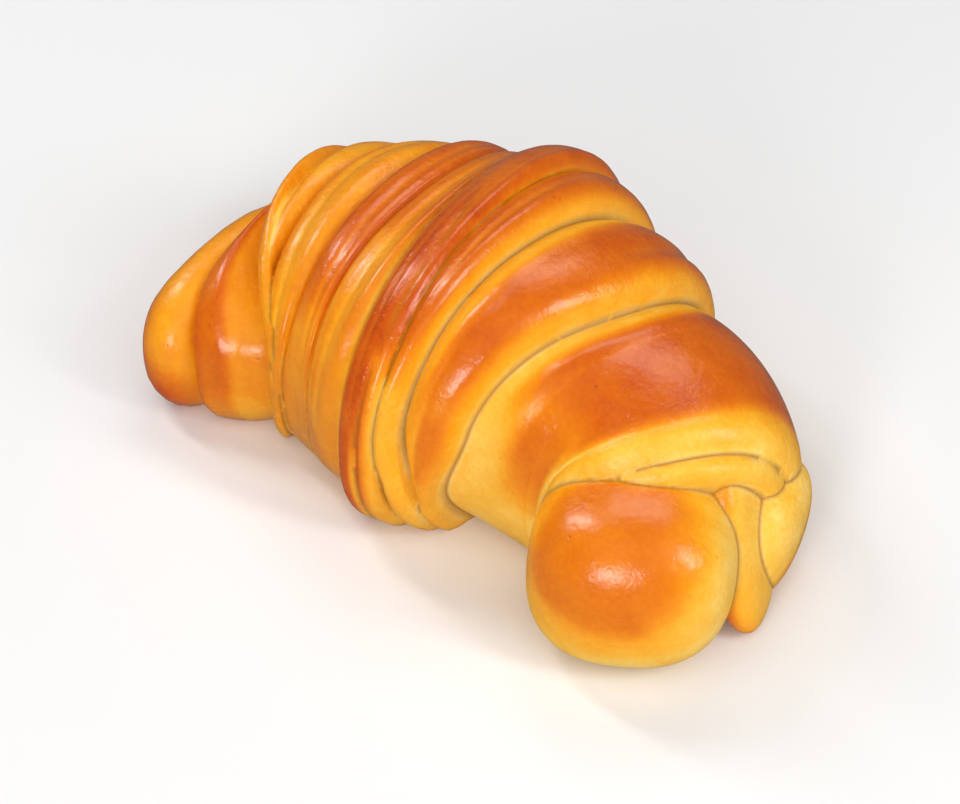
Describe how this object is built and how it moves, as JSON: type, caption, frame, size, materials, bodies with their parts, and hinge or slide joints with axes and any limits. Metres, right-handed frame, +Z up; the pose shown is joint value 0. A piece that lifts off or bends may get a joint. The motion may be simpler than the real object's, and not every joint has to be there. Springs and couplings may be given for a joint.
{
  "type": "brioche croissant",
  "caption": "Curved rolled brioche croissant with stepped overlapping wraps, a glossy egg-washed crust and rounded tips, flat underneath.",
  "frame": {"origin": "middle of the box round the croissant, at the height it rests on", "axes": "+Z up, +X along the longest extent from the left tip to the right tip, +Y towards the outer side of the bend, so that both tips turn towards -Y"},
  "size_m": [0.136, 0.0856, 0.0583],
  "materials": {
    "crust": "glossy egg-washed crust, brown on the crests and yellow in the folds"
  },
  "bodies": {
    "root": {"croissant": "crust"}
  },
  "joints": []
}
